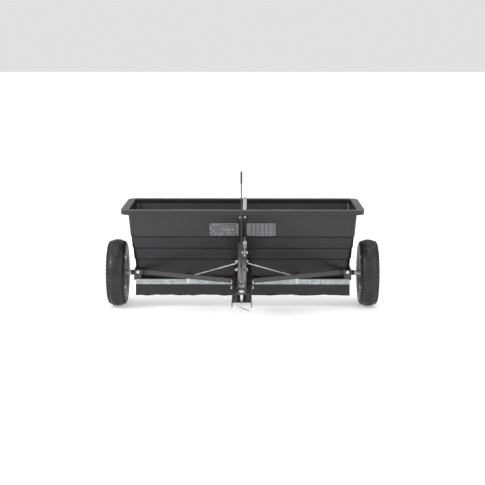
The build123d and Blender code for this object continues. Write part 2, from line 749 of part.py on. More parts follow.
mount_bolts = []
mount_face = wall_plane(mount_bolt_z, mount_thick + wall_gap)
for x in mount_bolt_x:
    where = mount_face.shift_origin(mount_face.from_local_coords((x, 0, 0)))
    mount_bolts.append(hex_bolt(where, mount_bolt_radius, mount_thick + wall_gap + hopper_wall))
mount_foot = ramp_top.offset(half_tube + mount_thick)
mount_foot = mount_foot.shift_origin(mount_foot.from_local_coords((0, mount_u, 0)))
mount_bolts.append(hex_bolt(mount_foot, mount_bolt_radius, mount_thick + tube_wall))
save(group(mount_bolts), "mount_bolts")

tongue_bolts = []
for reach in tongue_bolt_reach:
    where = Plane(origin=(0, axle_y - reach, tube_top))
    tongue_bolts.append(hex_bolt(where, tongue_bolt_radius, tube_size + drawbar_sheet, 6))
save(group(tongue_bolts), "tongue_bolts")

# ---------------------------------------------------------------- hitch: tab, pin and clip
tab_low = drawbar_top + hitch_gap
tab_top = tab_low + tab_thick
riser_front = tube_front + tab_thick
foot_reach = 60.0
foot_half = half_tube - tube_wall - 0.5

with BuildPart() as hitch_tab:
    with BuildSketch(plan.offset(tab_low)):
        with Locations((0, -(hitch_pin_reach + tube_front) / 2)):
            Rectangle(tube_size, hitch_pin_reach - tube_front)
        with Locations((0, -hitch_pin_reach)):
            Circle(tab_front - hitch_pin_reach)
            Circle(hitch_pin_radius + slide_clearance, mode=Mode.SUBTRACT)
    extrude(amount=tab_thick)
    with BuildSketch(plan.offset(drawbar_top)):
        with Locations((0, -(riser_front + tube_front) / 2)):
            Rectangle(tube_size, tab_thick)
    extrude(amount=hitch_gap)
    with BuildSketch(plan.offset(drawbar_top + tube_wall)):
        with Locations((0, -tube_front + foot_reach / 2)):
            Rectangle(2 * foot_half, foot_reach)
        with Locations((0, -tongue_bolt_reach[1])):
            Circle(tongue_bolt_radius + slide_clearance, mode=Mode.SUBTRACT)
    extrude(amount=tab_thick)
save(hitch_tab.part, "hitch_tab")

pin_low = 158.0
pin_head_radius = 11.0
pin_head = 10.0
clip_wire = 1.6
clip_z = 169.0
clip_droop = radians(20)
clip_along = (cos(clip_droop), 0, -sin(clip_droop))
clip_up = (sin(clip_droop), 0, cos(clip_droop))
clip_plane = Plane(origin=(0, axle_y - hitch_pin_reach, clip_z), x_dir=clip_along, z_dir=clip_up)
clip_start = Plane(origin=clip_plane.origin, z_dir=clip_along).offset(-22)

with BuildPart() as hitch_pin:
    with BuildSketch(plan.offset(pin_low)):
        with Locations((0, -hitch_pin_reach)):
            Circle(hitch_pin_radius)
    extrude(amount=tab_top + pin_head + 0.2 - pin_low)
    chamfer(hitch_pin.edges().group_by(Axis.Z)[0], length=2)
    with BuildSketch(plan.offset(tab_top + 0.2)):
        with Locations((0, -hitch_pin_reach)):
            Circle(pin_head_radius)
    extrude(amount=pin_head)
    chamfer(hitch_pin.edges().group_by(Axis.Z)[-1], length=1.5)
    with BuildSketch(clip_start):
        Circle(clip_wire + slide_clearance)
    extrude(amount=44, mode=Mode.SUBTRACT)
save(hitch_pin.part, "hitch_pin")

clip_beside = hitch_pin_radius + clip_wire + 0.4
with BuildPart() as hitch_clip:
    with BuildLine(clip_plane) as clip_wire_path:
        FilletPolyline(
            (-22, 0), (36, 0), (36, -14), (20, -clip_beside - 4), (12, -clip_beside),
            (-4, -clip_beside), (-14, -clip_beside - 5), radius=(6, 6, 3, 3, 3),
        )
    with BuildSketch(clip_start):
        Circle(clip_wire)
    sweep(path=clip_wire_path.line)
save(hitch_clip.part, "hitch_clip")

# ---------------------------------------------------------------- braces from the drawbar to the end plates
brace_high = 22.0
brace_thick = 4.0
brace_inner = drawbar_half_width + brace_thick / 2
brace_outer_y = plate_front + brace_thick / 2
brace_turn = 285.0

for name, x_side in (("left_brace", -1), ("right_brace", 1)):
    with BuildPart() as brace:
        with BuildSketch(plan.offset(brace_z - brace_high / 2)):
            with BuildLine():
                FilletPolyline(
                    (x_side * brace_inner, -brace_bolt_reach[1] - 14), (x_side * brace_inner, -brace_turn),
                    (x_side * (flange_in - 6), -brace_outer_y), (x_side * (plate_face - 3), -brace_outer_y),
                    radius=12,
                )
            trace(line_width=brace_thick)
        extrude(amount=brace_high)
        with BuildSketch(side):
            with Locations(*[(-reach, brace_z) for reach in brace_bolt_reach]):
                Circle(brace_bolt_radius + slide_clearance)
        extrude(amount=x_side * (brace_inner + brace_thick), mode=Mode.SUBTRACT)
        with BuildSketch(front.offset(plate_front)):
            with Locations((x_side * end_bolt_x, brace_z)):
                Circle(brace_bolt_radius + slide_clearance)
        extrude(amount=brace_thick, mode=Mode.SUBTRACT)
    save(brace.part, name)

brace_bolts = []
for x_side in (-1, 1):
    for reach in brace_bolt_reach:
        spot = (x_side * (drawbar_half_width + brace_thick), axle_y - reach, brace_z)
        where = Plane(origin=spot, x_dir=(0, 1, 0), z_dir=(x_side, 0, 0))
        brace_bolts.append(hex_bolt(where, brace_bolt_radius, brace_thick + drawbar_sheet))
    spot = (x_side * end_bolt_x, axle_y - plate_front - brace_thick, brace_z)
    where = Plane(origin=spot, x_dir=(1, 0, 0), z_dir=(0, -1, 0))
    brace_bolts.append(hex_bolt(where, brace_bolt_radius, brace_thick + plate_thick, 5))
save(group(brace_bolts), "brace_bolts")

# ---------------------------------------------------------------- struts from the tongue to the pan
strut_radius = 3.5
strut_tab = 3.0
strut_low_z = 161.0
strut_face = pan_half_depth + strut_tab
strut_lean = atan((strut_z - strut_low_z) / (strut_reach - pan_half_depth))
tab_reach = 20.0              # strut bolt to the end of the round rod

for name, x_side in (("left_strut", -1), ("right_strut", 1)):
    tab_y = tab_reach * cos(strut_lean)
    tab_z = tab_reach * sin(strut_lean)
    high = Vector(x_side * (half_tube + strut_tab / 2), axle_y - strut_reach + tab_y, strut_z - tab_z)
    low = Vector(x_side * rail_bolt_x, axle_y - pan_half_depth - strut_tab / 2 - 2.2, strut_low_z)
    along = (low - high).normalized()
    with BuildPart() as strut:
        with BuildSketch(Plane(origin=high, z_dir=along)):
            Circle(strut_radius)
        extrude(amount=(low - high).length)
        with BuildSketch(side.offset(x_side * half_tube)):
            with Locations((-strut_reach + tab_y / 2, strut_z - tab_z / 2)):
                RectangleRounded(tab_reach + 20, 16, 6, rotation=-degrees(strut_lean))
            with Locations((-strut_reach, strut_z)):
                Circle(strut_bolt_radius + slide_clearance, mode=Mode.SUBTRACT)
        extrude(amount=x_side * strut_tab)
        with BuildSketch(front.offset(pan_half_depth)):
            with Locations((x_side * rail_bolt_x, (strut_low_z + rail_bolt_z) / 2)):
                RectangleRounded(16, strut_low_z - rail_bolt_z + 18, 6)
            with Locations((x_side * rail_bolt_x, rail_bolt_z)):
                Circle(rail_bolt_radius + slide_clearance, mode=Mode.SUBTRACT)
        extrude(amount=strut_tab)
        with BuildSketch(side.offset(x_side * (half_tube - 4))):
            with Locations((-strut_reach, strut_z)):
                Rectangle(100, 100)
        extrude(amount=x_side * 4, mode=Mode.SUBTRACT)
    save(strut.part, name)

strut_end = (half_tube + strut_tab, axle_y - strut_reach, strut_z)
where = Plane(origin=strut_end, x_dir=(0, 1, 0), z_dir=(1, 0, 0))
strut_bolt = hex_bolt(where, strut_bolt_radius, tube_size + 2 * strut_tab)
save(strut_bolt, "strut_bolt")

rail_bolts = []
for x in (-rail_bolt_x, rail_bolt_x):
    where = Plane(origin=(x, axle_y - strut_face, rail_bolt_z), x_dir=(1, 0, 0), z_dir=(0, -1, 0))
    rail_bolts.append(hex_bolt(where, rail_bolt_radius, strut_tab + pan_sheet + 0.1 + skirt_thick))
save(group(rail_bolts), "rail_bolts")

# ---------------------------------------------------------------- flow lever, its pivot and link
pin_radius = 4.0
stop_x = 11.0
stop_high = half_tube + 18    # rod centre above the pivot line
stud_reach = 58.8
eye_slack = 0.7
eye_thick = 4.0
eye_face = lever_x + lever_thick / 2 + 0.3
link_radius = 3.0
lever_face = lever_x - lever_thick / 2
link_pin_z = pivot_z - lever_arm
arm_rise = lever_arm * (1 - cos(radians(lever_swing)))

with BuildPart() as lever:
    with BuildSketch(side.offset(lever_face)):
        with Locations((-lever_reach, (lever_top + pivot_z) / 2 - 2)):
            Rectangle(lever_width, lever_top - pivot_z - 4)
        with Locations((-lever_reach, (pivot_z + link_pin_z) / 2)):
            Rectangle(lever_width - 4, pivot_z - link_pin_z)
        with Locations((-lever_reach, pivot_z)):
            Circle(lever_width / 2)
        with Locations((-lever_reach, link_pin_z)):
            Circle(lever_width / 2 - 2)
        with Locations((-lever_reach, pivot_z)):
            Circle(pivot_radius + run_clearance, mode=Mode.SUBTRACT)
    extrude(amount=lever_thick)
    with BuildSketch(side.offset(lever_face + lever_thick)):
        with Locations((-lever_reach, link_pin_z)):
            Circle(pin_radius)
    extrude(amount=eye_thick + 2.3)
    with BuildSketch(side.offset(lever_face + lever_thick)):
        with Locations((-lever_reach, pivot_z + stud_reach)):
            Circle(pin_radius)
    extrude(amount=stop_x + 5 - lever_x - lever_thick / 2)
save(lever.part, "lever")

grip_half = 14.0
grip_thick = 9.0
with BuildPart() as lever_grip:
    with BuildSketch(side.offset(lever_x - grip_thick / 2)):
        with Locations((-lever_reach, lever_top - grip_length / 2)):
            RectangleRounded(2 * grip_half, grip_length, 9)
    extrude(amount=grip_thick)
    fillet(lever_grip.faces().filter_by(Axis.X).edges(), radius=2.5)
    with BuildSketch(side.offset(lever_face)):
        with Locations((-lever_reach, lever_top - 4 - grip_length / 2)):
            Rectangle(lever_width, grip_length)
    extrude(amount=lever_thick, mode=Mode.SUBTRACT)
save(lever_grip.part, "lever_grip")

where = Plane(origin=(half_tube, axle_y - lever_reach, pivot_z), x_dir=(0, 1, 0), z_dir=(1, 0, 0))
pivot_bolt = hex_bolt(where, pivot_radius, tube_size, 6)
save(pivot_bolt, "lever_pivot_bolt")

with BuildPart() as lever_spacers:
    for x, length in ((lever_face - 0.3, -10.7), (lever_face + lever_thick + 0.3, 18.6)):
        with BuildSketch(side.offset(x)):
            with Locations((-lever_reach, pivot_z)):
                Circle(8)
                Circle(pivot_radius, mode=Mode.SUBTRACT)
        extrude(amount=length)
save(lever_spacers.part, "lever_spacers")

eye_x = eye_face + eye_thick / 2
tongue_z = shutter_top
link_low = Vector(link_x, axle_y - rear_pin_reach, tongue_z + link_radius + 0.2)
link_high = Vector(eye_x, axle_y - lever_reach, link_pin_z)
link_along = (link_low - link_high).normalized()
with BuildPart() as link_rod:
    with BuildSketch(Plane(origin=link_high + link_along * 9, z_dir=link_along)):
        Circle(link_radius)
    extrude(amount=(link_low - link_high).length - 16)
    with BuildSketch(side.offset(eye_face)):
        with Locations((-lever_reach, link_pin_z + arm_rise / 2)):
            RectangleRounded(2 * (pin_radius + 5), 2 * (pin_radius + 3.2) + arm_rise, 6)
            SlotOverall(2 * (pin_radius + eye_slack) + arm_rise, 2 * (pin_radius + eye_slack), rotation=90,
                        mode=Mode.SUBTRACT)
    extrude(amount=eye_thick)
    with BuildSketch(plan.offset(tongue_z)):
        with Locations((link_x, -rear_pin_reach)):
            Circle(8)
    extrude(amount=2 * link_radius)
    with BuildSketch(plan.offset(tongue_z)):
        with Locations((link_x, -rear_pin_reach)):
            Circle(3.1)
    extrude(amount=2 * link_radius, mode=Mode.SUBTRACT)
save(link_rod.part, "link_rod")

where = Plane(origin=(link_x, axle_y - rear_pin_reach, tongue_z + 2 * link_radius))
link_bolt = hex_bolt(where, 3.0, 2 * link_radius + shutter_sheet, 4)
save(link_bolt, "link_bolt")

# ---------------------------------------------------------------- flow stop on the tongue
stop_radius = 4.0
stop_front = 49.0
stop_back = 236.0
lug_thick = 3.0
front_lug_u = 82.0
rear_lug_u = 190.0
collar_u = 140.0
collar_length = 12.0
spring_radius = 9.0
spring_wire = 2.0
nut_gap = 0.3
nut_length = 12.0


def ramp_at(u):
    """Plane across the tongue at distance u behind the lever pivot, local y away from the tube."""
    return ramp_front.offset(-u)


with BuildPart() as stop_rod:
    with BuildSketch(ramp_at(stop_back)):
        with Locations((stop_x, stop_high)):
            Circle(stop_radius)
    extrude(amount=stop_back - stop_front)
    with BuildSketch(ramp_at(collar_u + collar_length)):
        with Locations((stop_x, stop_high)):
            Circle(spring_radius)
    extrude(amount=collar_length)
save(stop_rod.part, "stop_rod")

with BuildPart() as stop_lugs:
    for u in (front_lug_u, rear_lug_u):
        with BuildSketch(ramp_at(u + lug_thick)):
            with Locations((stop_x, (half_tube + stop_high) / 2)):
                Rectangle(18, stop_high - half_tube)
            with Locations((stop_x, stop_high)):
                Circle(9)
                Circle(stop_radius + slide_clearance, mode=Mode.SUBTRACT)
        extrude(amount=lug_thick)
save(stop_lugs.part, "stop_lugs")

wing_reach = 16.0
nut_u = front_lug_u + lug_thick + nut_gap
with BuildPart() as wing_nut:
    with BuildSketch(ramp_at(nut_u + nut_length)):
        with Locations((stop_x, stop_high)):
            Circle(7.5)
    extrude(amount=nut_length)
    with BuildSketch(ramp_at(nut_u + nut_length)):
        with Locations((stop_x, stop_high)):
            SlotOverall(2 * wing_reach, 3.5)
    extrude(amount=nut_length)
    with BuildSketch(ramp_at(nut_u + nut_length)):
        with Locations((stop_x, stop_high)):
            Circle(stop_radius + slide_clearance)
    extrude(amount=nut_length, mode=Mode.SUBTRACT)
save(wing_nut.part, "wing_nut")

with BuildPart() as stop_spring:
    with BuildSketch(ramp_at(rear_lug_u - 0.2)):
        with Locations((stop_x, stop_high)):
            Circle(spring_radius)
            Circle(spring_radius - spring_wire, mode=Mode.SUBTRACT)
    extrude(amount=rear_lug_u - collar_u - collar_length - 0.4)
save(stop_spring.part, "stop_spring")

# ---------------------------------------------------------------- chart label on the front wall
label_length = 320.0
label_low = 379.0
label_high = 444.0
label_thick = 0.3
with BuildPart() as label:
    with BuildSketch(wall_plane((label_low + label_high) / 2, 0.02)):
        RectangleRounded(label_length, (label_high - label_low) * (1 + taper_y**2) ** 0.5, 5)
    extrude(amount=label_thick)
save(label.part, "label")
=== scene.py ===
"""A towed drop spreader for a garden tractor, in metres, on its own two wheels."""
import math

import bmesh
import bpy
from mathutils import Matrix, Vector


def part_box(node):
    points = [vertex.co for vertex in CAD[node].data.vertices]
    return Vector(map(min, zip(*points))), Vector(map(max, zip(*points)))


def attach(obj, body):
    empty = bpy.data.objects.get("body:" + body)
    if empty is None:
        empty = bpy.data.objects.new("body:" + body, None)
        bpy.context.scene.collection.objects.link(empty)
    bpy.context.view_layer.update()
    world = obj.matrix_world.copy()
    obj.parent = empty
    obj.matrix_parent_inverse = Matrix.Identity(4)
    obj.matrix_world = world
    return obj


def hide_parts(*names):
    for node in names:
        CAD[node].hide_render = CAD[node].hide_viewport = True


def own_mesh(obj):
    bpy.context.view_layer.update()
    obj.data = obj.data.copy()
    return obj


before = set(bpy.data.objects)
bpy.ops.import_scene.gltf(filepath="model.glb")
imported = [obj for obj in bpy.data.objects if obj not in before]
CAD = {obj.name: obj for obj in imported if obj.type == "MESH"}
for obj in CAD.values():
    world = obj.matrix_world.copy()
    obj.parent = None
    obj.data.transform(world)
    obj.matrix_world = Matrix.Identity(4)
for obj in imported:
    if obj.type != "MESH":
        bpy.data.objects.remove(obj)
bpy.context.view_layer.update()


# ---------------------------------------------------------------- studio
# A wide white floor under a pale sky, three soft boxes and a long lens 1.33 m up,
# five metres in front of the tow hitch. The floor is staged, not part of the model.
def linear(code):
    """An sRGB hex colour as the linear red, green, blue and alpha that a shader takes."""
    parts = [int(code[i:i + 2], 16) / 255 for i in (1, 3, 5)]
    return tuple(c / 12.92 if c <= 0.04045 else ((c + 0.055) / 1.055) ** 2.4
        for c in parts) + (1.0,)


def add_node(tree, kind, inputs=None, **settings):
    """Adds a node; settings are its properties, and inputs are values or links for its sockets."""
    node = tree.nodes.new(kind)
    for name, value in settings.items():
        setattr(node, name, value)
    for socket, value in (inputs or {}).items():
        if isinstance(value, bpy.types.NodeSocket):
            tree.links.new(value, node.inputs[socket])
        else:
            node.inputs[socket].default_value = value
    return node


def new_material(name, **shader):
    """An empty material with one Principled shader, whose sockets are given by name."""
    material = bpy.data.materials.new(name)
    material.use_nodes = True
    tree = material.node_tree
    tree.nodes.clear()
    bsdf = add_node(tree, "ShaderNodeBsdfPrincipled", {
        k.replace("_", " "): v for k, v in shader.items()})
    add_node(tree, "ShaderNodeOutputMaterial", {"Surface": bsdf.outputs[0]})
    return material, tree, bsdf


def mesh_piece(name, points, faces, material, smooth=True):
    """A piece from points in metres and faces, with its normals turned outwards."""
    mesh = bpy.data.meshes.new(name)
    mesh.from_pydata([tuple(p) for p in points], [], faces)
    work = bmesh.new()
    work.from_mesh(mesh)
    bmesh.ops.remove_doubles(work, verts=work.verts, dist=1e-6)
    bmesh.ops.recalc_face_normals(work, faces=work.faces)
    work.to_mesh(mesh)
    work.free()
    mesh.materials.append(material)
    for face in mesh.polygons:
        face.use_smooth = smooth
    piece = bpy.data.objects.new(name, mesh)
    bpy.context.scene.collection.objects.link(piece)
    return piece


floor_paint, tree, shader = new_material("matt_white_floor", Roughness=0.9, Emission_Strength=0.3)
shader.inputs["Base Color"].default_value = linear("#fafafa")
shader.inputs["Emission Color"].default_value = linear("#ffffff")
floor_half = 40
floor = mesh_piece(
    "floor", [(-floor_half, -floor_half, 0), (floor_half, -floor_half, 0),
              (floor_half, floor_half, 0), (-floor_half, floor_half, 0)],
    [(0, 1, 2, 3)], floor_paint)

sky = bpy.data.worlds.new("studio_air")
sky.use_nodes = True
sky.node_tree.nodes["Background"].inputs["Color"].default_value = (1, 1, 1, 1)
sky.node_tree.nodes["Background"].inputs["Strength"].default_value = 0.75
bpy.context.scene.world = sky

for name, place, size, power in (
    ("soft_box_left", (-2.4, -1.6, 2.4), 1.6, 62),
    ("soft_box_right", (2.9, -2.2, 2.6), 1.8, 40),
    ("soft_box_top", (0, 0.6, 3.6), 2.6, 60),
):
    lamp = bpy.data.lights.new(name, "AREA")
    lamp.energy = power
    lamp.size = size
    light = bpy.data.objects.new(name, lamp)
    light.location = place
    light.rotation_euler = (Vector((0, 0, 0.3)) - Vector(place)).to_track_quat("-Z", "Y").to_euler()
    bpy.context.scene.collection.objects.link(light)

lens = bpy.data.cameras.new("long_lens")
lens.lens = 84.557
lens.sensor_width = 36.0
view = bpy.data.objects.new("long_lens", lens)
view.location = (0.0356, -5.3277, 1.3306)
view.rotation_euler = (math.radians(79.8), 0, math.radians(0.3766))
bpy.context.scene.collection.objects.link(view)
bpy.context.scene.camera = view
bpy.context.scene.view_settings.view_transform = "Standard"


# ---------------------------------------------------------------- hopper
# One deep tub, rotationally moulded in black polyethylene, so it is waxy, with a
# faint pebble from the mould, pale streaks on its walls and wear along its edges.
def finish_cad(material, *names):
    """Gives CAD parts, which keep their shape, this material."""
    for name in names:
        for held in CAD[name].material_slots:
            held.material = material


polyethylene, tree, shader = new_material("moulded_black_polyethylene", Roughness=0.42, IOR=1.48)
place = add_node(tree, "ShaderNodeTexCoord").outputs["Object"]
clouds = add_node(tree, "ShaderNodeTexNoise", {
    "Vector": place, "Scale": 7.0, "Detail": 5.0, "Roughness": 0.6})
plastic_tint = add_node(tree, "ShaderNodeValToRGB", {"Fac": clouds.outputs["Fac"]})
plastic_tint.color_ramp.elements[0].position = 0.3
plastic_tint.color_ramp.elements[0].color = linear("#0c0d10")
plastic_tint.color_ramp.elements[1].position = 0.75
plastic_tint.color_ramp.elements[1].color = linear("#131418")
runs = add_node(tree, "ShaderNodeMapping", {"Vector": place, "Scale": (60.0, 60.0, 5.0)})
streaks = add_node(tree, "ShaderNodeTexNoise", {
    "Vector": runs.outputs[0], "Scale": 1.0, "Detail": 3.0})
streak_mask = add_node(tree, "ShaderNodeMapRange", {
    "Value": streaks.outputs["Fac"],
    "From Min": 0.58, "From Max": 0.8, "To Min": 0.0, "To Max": 0.22})
facing = add_node(tree, "ShaderNodeNewGeometry")
edge_wear = add_node(tree, "ShaderNodeMapRange", {
    "Value": facing.outputs["Pointiness"],
    "From Min": 0.52, "From Max": 0.62, "To Min": 0.0, "To Max": 0.5})
height = add_node(tree, "ShaderNodeSeparateXYZ", {0: place}).outputs["Z"]
# Near-black bands just under each moulded step are painted shade: the shadow line that falls below a
# step's edge, drawn into the colour.
painted_step_shade = 0.0
step_heights, shadow_drop = (0.254, 0.314, 0.374), 0.002
for step_height in step_heights:
    from_step = add_node(tree, "ShaderNodeMath", {
        0: height, 1: step_height - shadow_drop}, operation="SUBTRACT")
    distance = add_node(tree, "ShaderNodeMath", {0: from_step.outputs[0]}, operation="ABSOLUTE")
    line = add_node(tree, "ShaderNodeMapRange", {
        "Value": distance.outputs[0],
        "From Min": 0.0015, "From Max": 0.005, "To Min": 1.0, "To Max": 0.0})
    painted_step_shade = add_node(tree, "ShaderNodeMath", {
        0: painted_step_shade, 1: line.outputs[0]}, operation="MAXIMUM").outputs[0]
worn = add_node(tree, "ShaderNodeMath", {
    0: streak_mask.outputs[0], 1: edge_wear.outputs[0]}, operation="MAXIMUM")
plastic_colour = add_node(tree, "ShaderNodeMix", {
    "Factor": worn.outputs[0], "A": plastic_tint.outputs["Color"], "B": linear("#363331")},
    data_type="RGBA")
shaded = add_node(tree, "ShaderNodeMix", {
    "Factor": painted_step_shade, "A": plastic_colour.outputs["Result"], "B": linear("#020203")},
    data_type="RGBA")
tree.links.new(shaded.outputs["Result"], shader.inputs["Base Color"])
gloss = add_node(tree, "ShaderNodeMapRange", {
    "Value": clouds.outputs["Fac"],
    "From Min": 0.3, "From Max": 0.7, "To Min": 0.36, "To Max": 0.5})
dulled = add_node(tree, "ShaderNodeMath", {0: gloss.outputs[0], 1: painted_step_shade}, operation="MAXIMUM")
tree.links.new(dulled.outputs[0], shader.inputs["Roughness"])
# A moulded pebble is about 0.4 mm. It is drawn at 1.6 mm, so that it shows at all.
pebble = add_node(tree, "ShaderNodeTexNoise", {"Vector": place, "Scale": 1 / 0.0016, "Detail": 2.0})
pebbled = add_node(tree, "ShaderNodeBump", {
    "Height": pebble.outputs["Fac"], "Strength": 0.18, "Distance": 0.0004})
tree.links.new(pebbled.outputs[0], shader.inputs["Normal"])
finish_cad(polyethylene, "hopper")


# ---------------------------------------------------------------- cross strap and bolts
# A flat steel strap ties the long rims together over the middle of the mouth, on
# two bolts. All the bolts, pins and rods are bright zinc plate, faintly blue.
zinc_plate, tree, shader = new_material("bright_zinc_plate", Metallic=1.0, Roughness=0.3)
place = add_node(tree, "ShaderNodeTexCoord").outputs["Object"]
film = add_node(tree, "ShaderNodeTexNoise", {
    "Vector": place, "Scale": 45.0, "Detail": 4.0, "Roughness": 0.55})
zinc_tint = add_node(tree, "ShaderNodeValToRGB", {"Fac": film.outputs["Fac"]})
zinc_tint.color_ramp.elements[0].position = 0.32
zinc_tint.color_ramp.elements[0].color = linear("#aeb3b8")
zinc_tint.color_ramp.elements[1].position = 0.7
zinc_tint.color_ramp.elements[1].color = linear("#d6d5cf")
tree.links.new(zinc_tint.outputs["Color"], shader.inputs["Base Color"])
zinc_gloss = add_node(tree, "ShaderNodeMapRange", {
    "Value": film.outputs["Fac"], "From Min": 0.3, "From Max": 0.7, "To Min": 0.22, "To Max": 0.4})
tree.links.new(zinc_gloss.outputs[0], shader.inputs["Roughness"])
drawn = add_node(tree, "ShaderNodeTexNoise", {"Vector": place, "Scale": 1 / 0.0011, "Detail": 2.0})
drawn_bump = add_node(tree, "ShaderNodeBump", {
    "Height": drawn.outputs["Fac"], "Strength": 0.12, "Distance": 0.0002})
tree.links.new(drawn_bump.outputs[0], shader.inputs["Normal"])

black_paint, tree, shader = new_material(
    "black_powder_coat", Roughness=0.3, IOR=1.5, Coat_Weight=0.35, Coat_Roughness=0.12)
place = add_node(tree, "ShaderNodeTexCoord").outputs["Object"]
patchy = add_node(tree, "ShaderNodeTexNoise", {"Vector": place, "Scale": 14.0, "Detail": 4.0})
paint_tint = add_node(tree, "ShaderNodeValToRGB", {"Fac": patchy.outputs["Fac"]})
paint_tint.color_ramp.elements[0].position = 0.3
paint_tint.color_ramp.elements[0].color = linear("#09090a")
paint_tint.color_ramp.elements[1].position = 0.75
paint_tint.color_ramp.elements[1].color = linear("#111112")
facing = add_node(tree, "ShaderNodeNewGeometry")
rubbed = add_node(tree, "ShaderNodeMapRange", {
    "Value": facing.outputs["Pointiness"],
    "From Min": 0.56, "From Max": 0.68, "To Min": 0.0, "To Max": 0.6})
paint_colour = add_node(tree, "ShaderNodeMix", {
    "Factor": rubbed.outputs[0], "A": paint_tint.outputs["Color"], "B": linear("#33322f")},
    data_type="RGBA")
tree.links.new(paint_colour.outputs["Result"], shader.inputs["Base Color"])
paint_gloss = add_node(tree, "ShaderNodeMapRange", {
    "Value": patchy.outputs["Fac"],
    "From Min": 0.3, "From Max": 0.7, "To Min": 0.24, "To Max": 0.38})
tree.links.new(paint_gloss.outputs[0], shader.inputs["Roughness"])
# Orange peel of a baked powder coat, about 1.5 mm from crest to crest.
peel = add_node(tree, "ShaderNodeTexNoise", {"Vector": place, "Scale": 1 / 0.0015, "Detail": 1.0})
peel_bump = add_node(tree, "ShaderNodeBump", {
    "Height": peel.outputs["Fac"], "Strength": 0.2, "Distance": 0.0003})
tree.links.new(peel_bump.outputs[0], shader.inputs["Normal"])
finish_cad(zinc_plate, "cross_strap", "strap_bolts")


# ---------------------------------------------------------------- bottom pan and shutter
# A folded galvanised pan closes the tub, with a row of outlets, and a sliding
# shutter lies over it in two guides. Hot-dip zinc leaves grey spangles.
galvanised, tree, shader = new_material("hot_dip_galvanised_sheet", Metallic=1.0, Roughness=0.4)
place = add_node(tree, "ShaderNodeTexCoord").outputs["Object"]
spangle = add_node(tree, "ShaderNodeTexVoronoi", {
    "Vector": place, "Scale": 1 / 0.009}, feature="F1")
spangle_grey = add_node(tree, "ShaderNodeSeparateColor", {"Color": spangle.outputs["Color"]})
dull = add_node(tree, "ShaderNodeTexNoise", {"Vector": place, "Scale": 9.0, "Detail": 5.0})
mixed_grey = add_node(tree, "ShaderNodeMath", {
    0: spangle_grey.outputs[0], 1: dull.outputs["Fac"]}, operation="MULTIPLY")
galv_tint = add_node(tree, "ShaderNodeValToRGB", {"Fac": mixed_grey.outputs[0]})
galv_tint.color_ramp.elements[0].position = 0.05
galv_tint.color_ramp.elements[0].color = linear("#8d9492")
galv_tint.color_ramp.elements[1].position = 0.6
galv_tint.color_ramp.elements[1].color = linear("#bcc3c0")
tree.links.new(galv_tint.outputs["Color"], shader.inputs["Base Color"])
galv_gloss = add_node(tree, "ShaderNodeMapRange", {
    "Value": mixed_grey.outputs[0],
    "From Min": 0.0, "From Max": 0.6, "To Min": 0.34, "To Max": 0.52})
tree.links.new(galv_gloss.outputs[0], shader.inputs["Roughness"])
finish_cad(galvanised, "bottom_pan", "shutter")
finish_cad(zinc_plate, "pan_bolts", "rail_bolts")
nylon, tree, shader = new_material("black_moulded_nylon", Roughness=0.45, IOR=1.53)
place = add_node(tree, "ShaderNodeTexCoord").outputs["Object"]
aged = add_node(tree, "ShaderNodeTexNoise", {"Vector": place, "Scale": 40.0, "Detail": 3.0})
nylon_tint = add_node(tree, "ShaderNodeValToRGB", {"Fac": aged.outputs["Fac"]})
nylon_tint.color_ramp.elements[0].color = linear("#161617")
nylon_tint.color_ramp.elements[1].color = linear("#262728")
tree.links.new(nylon_tint.outputs["Color"], shader.inputs["Base Color"])
finish_cad(nylon, "left_bearing", "right_bearing", "left_wheel_bushes", "shutter_guides")


# ---------------------------------------------------------------- end plates, axle and agitator
# Pressed plates close the pan's ends and carry the axle in plain bushes. The
# axle and its vanes are bright bar and strip, held by washers and cotter pins.
finish_cad(black_paint, "left_end_plate", "right_end_plate")
finish_cad(zinc_plate, "axle", "agitator_vanes", "axle_washers", "cotter_pins", "drive_pin")


# ---------------------------------------------------------------- wheel rims, hubs and bolts
# Two pressed steel halves bolted together, in silver-grey enamel, on a welded
# tube hub. The valve stem is rubber.
rim_enamel, tree, shader = new_material(
    "silver_grey_enamel", Roughness=0.38, Metallic=0.55, Coat_Weight=0.3, Coat_Roughness=0.15)
place = add_node(tree, "ShaderNodeTexCoord").outputs["Object"]
road_film = add_node(tree, "ShaderNodeTexNoise", {"Vector": place, "Scale": 26.0, "Detail": 5.0})
rim_tint = add_node(tree, "ShaderNodeValToRGB", {"Fac": road_film.outputs["Fac"]})
rim_tint.color_ramp.elements[0].position = 0.3
rim_tint.color_ramp.elements[0].color = linear("#94979a")
rim_tint.color_ramp.elements[1].position = 0.72
rim_tint.color_ramp.elements[1].color = linear("#bcbfc1")
tree.links.new(rim_tint.outputs["Color"], shader.inputs["Base Color"])
flake = add_node(tree, "ShaderNodeTexNoise", {"Vector": place, "Scale": 1 / 0.0012, "Detail": 1.0})
flake_bump = add_node(tree, "ShaderNodeBump", {
    "Height": flake.outputs["Fac"], "Strength": 0.12, "Distance": 0.0002})
tree.links.new(flake_bump.outputs[0], shader.inputs["Normal"])
finish_cad(rim_enamel, "left_rim_inner", "left_rim_outer", "right_rim_inner", "right_rim_outer")
finish_cad(zinc_plate, "left_hub", "right_hub", "left_rim_bolts", "right_rim_bolts")

stem_rubber, tree, shader = new_material("moulded_valve_rubber", Roughness=0.55, IOR=1.52)
place = add_node(tree, "ShaderNodeTexCoord").outputs["Object"]
bloom = add_node(tree, "ShaderNodeTexNoise", {"Vector": place, "Scale": 120.0, "Detail": 3.0})
stem_tint = add_node(tree, "ShaderNodeValToRGB", {"Fac": bloom.outputs["Fac"]})
stem_tint.color_ramp.elements[0].color = linear("#121212")
stem_tint.color_ramp.elements[1].color = linear("#2c2c2b")
tree.links.new(stem_tint.outputs["Color"], shader.inputs["Base Color"])
finish_cad(stem_rubber, "left_valve", "right_valve")


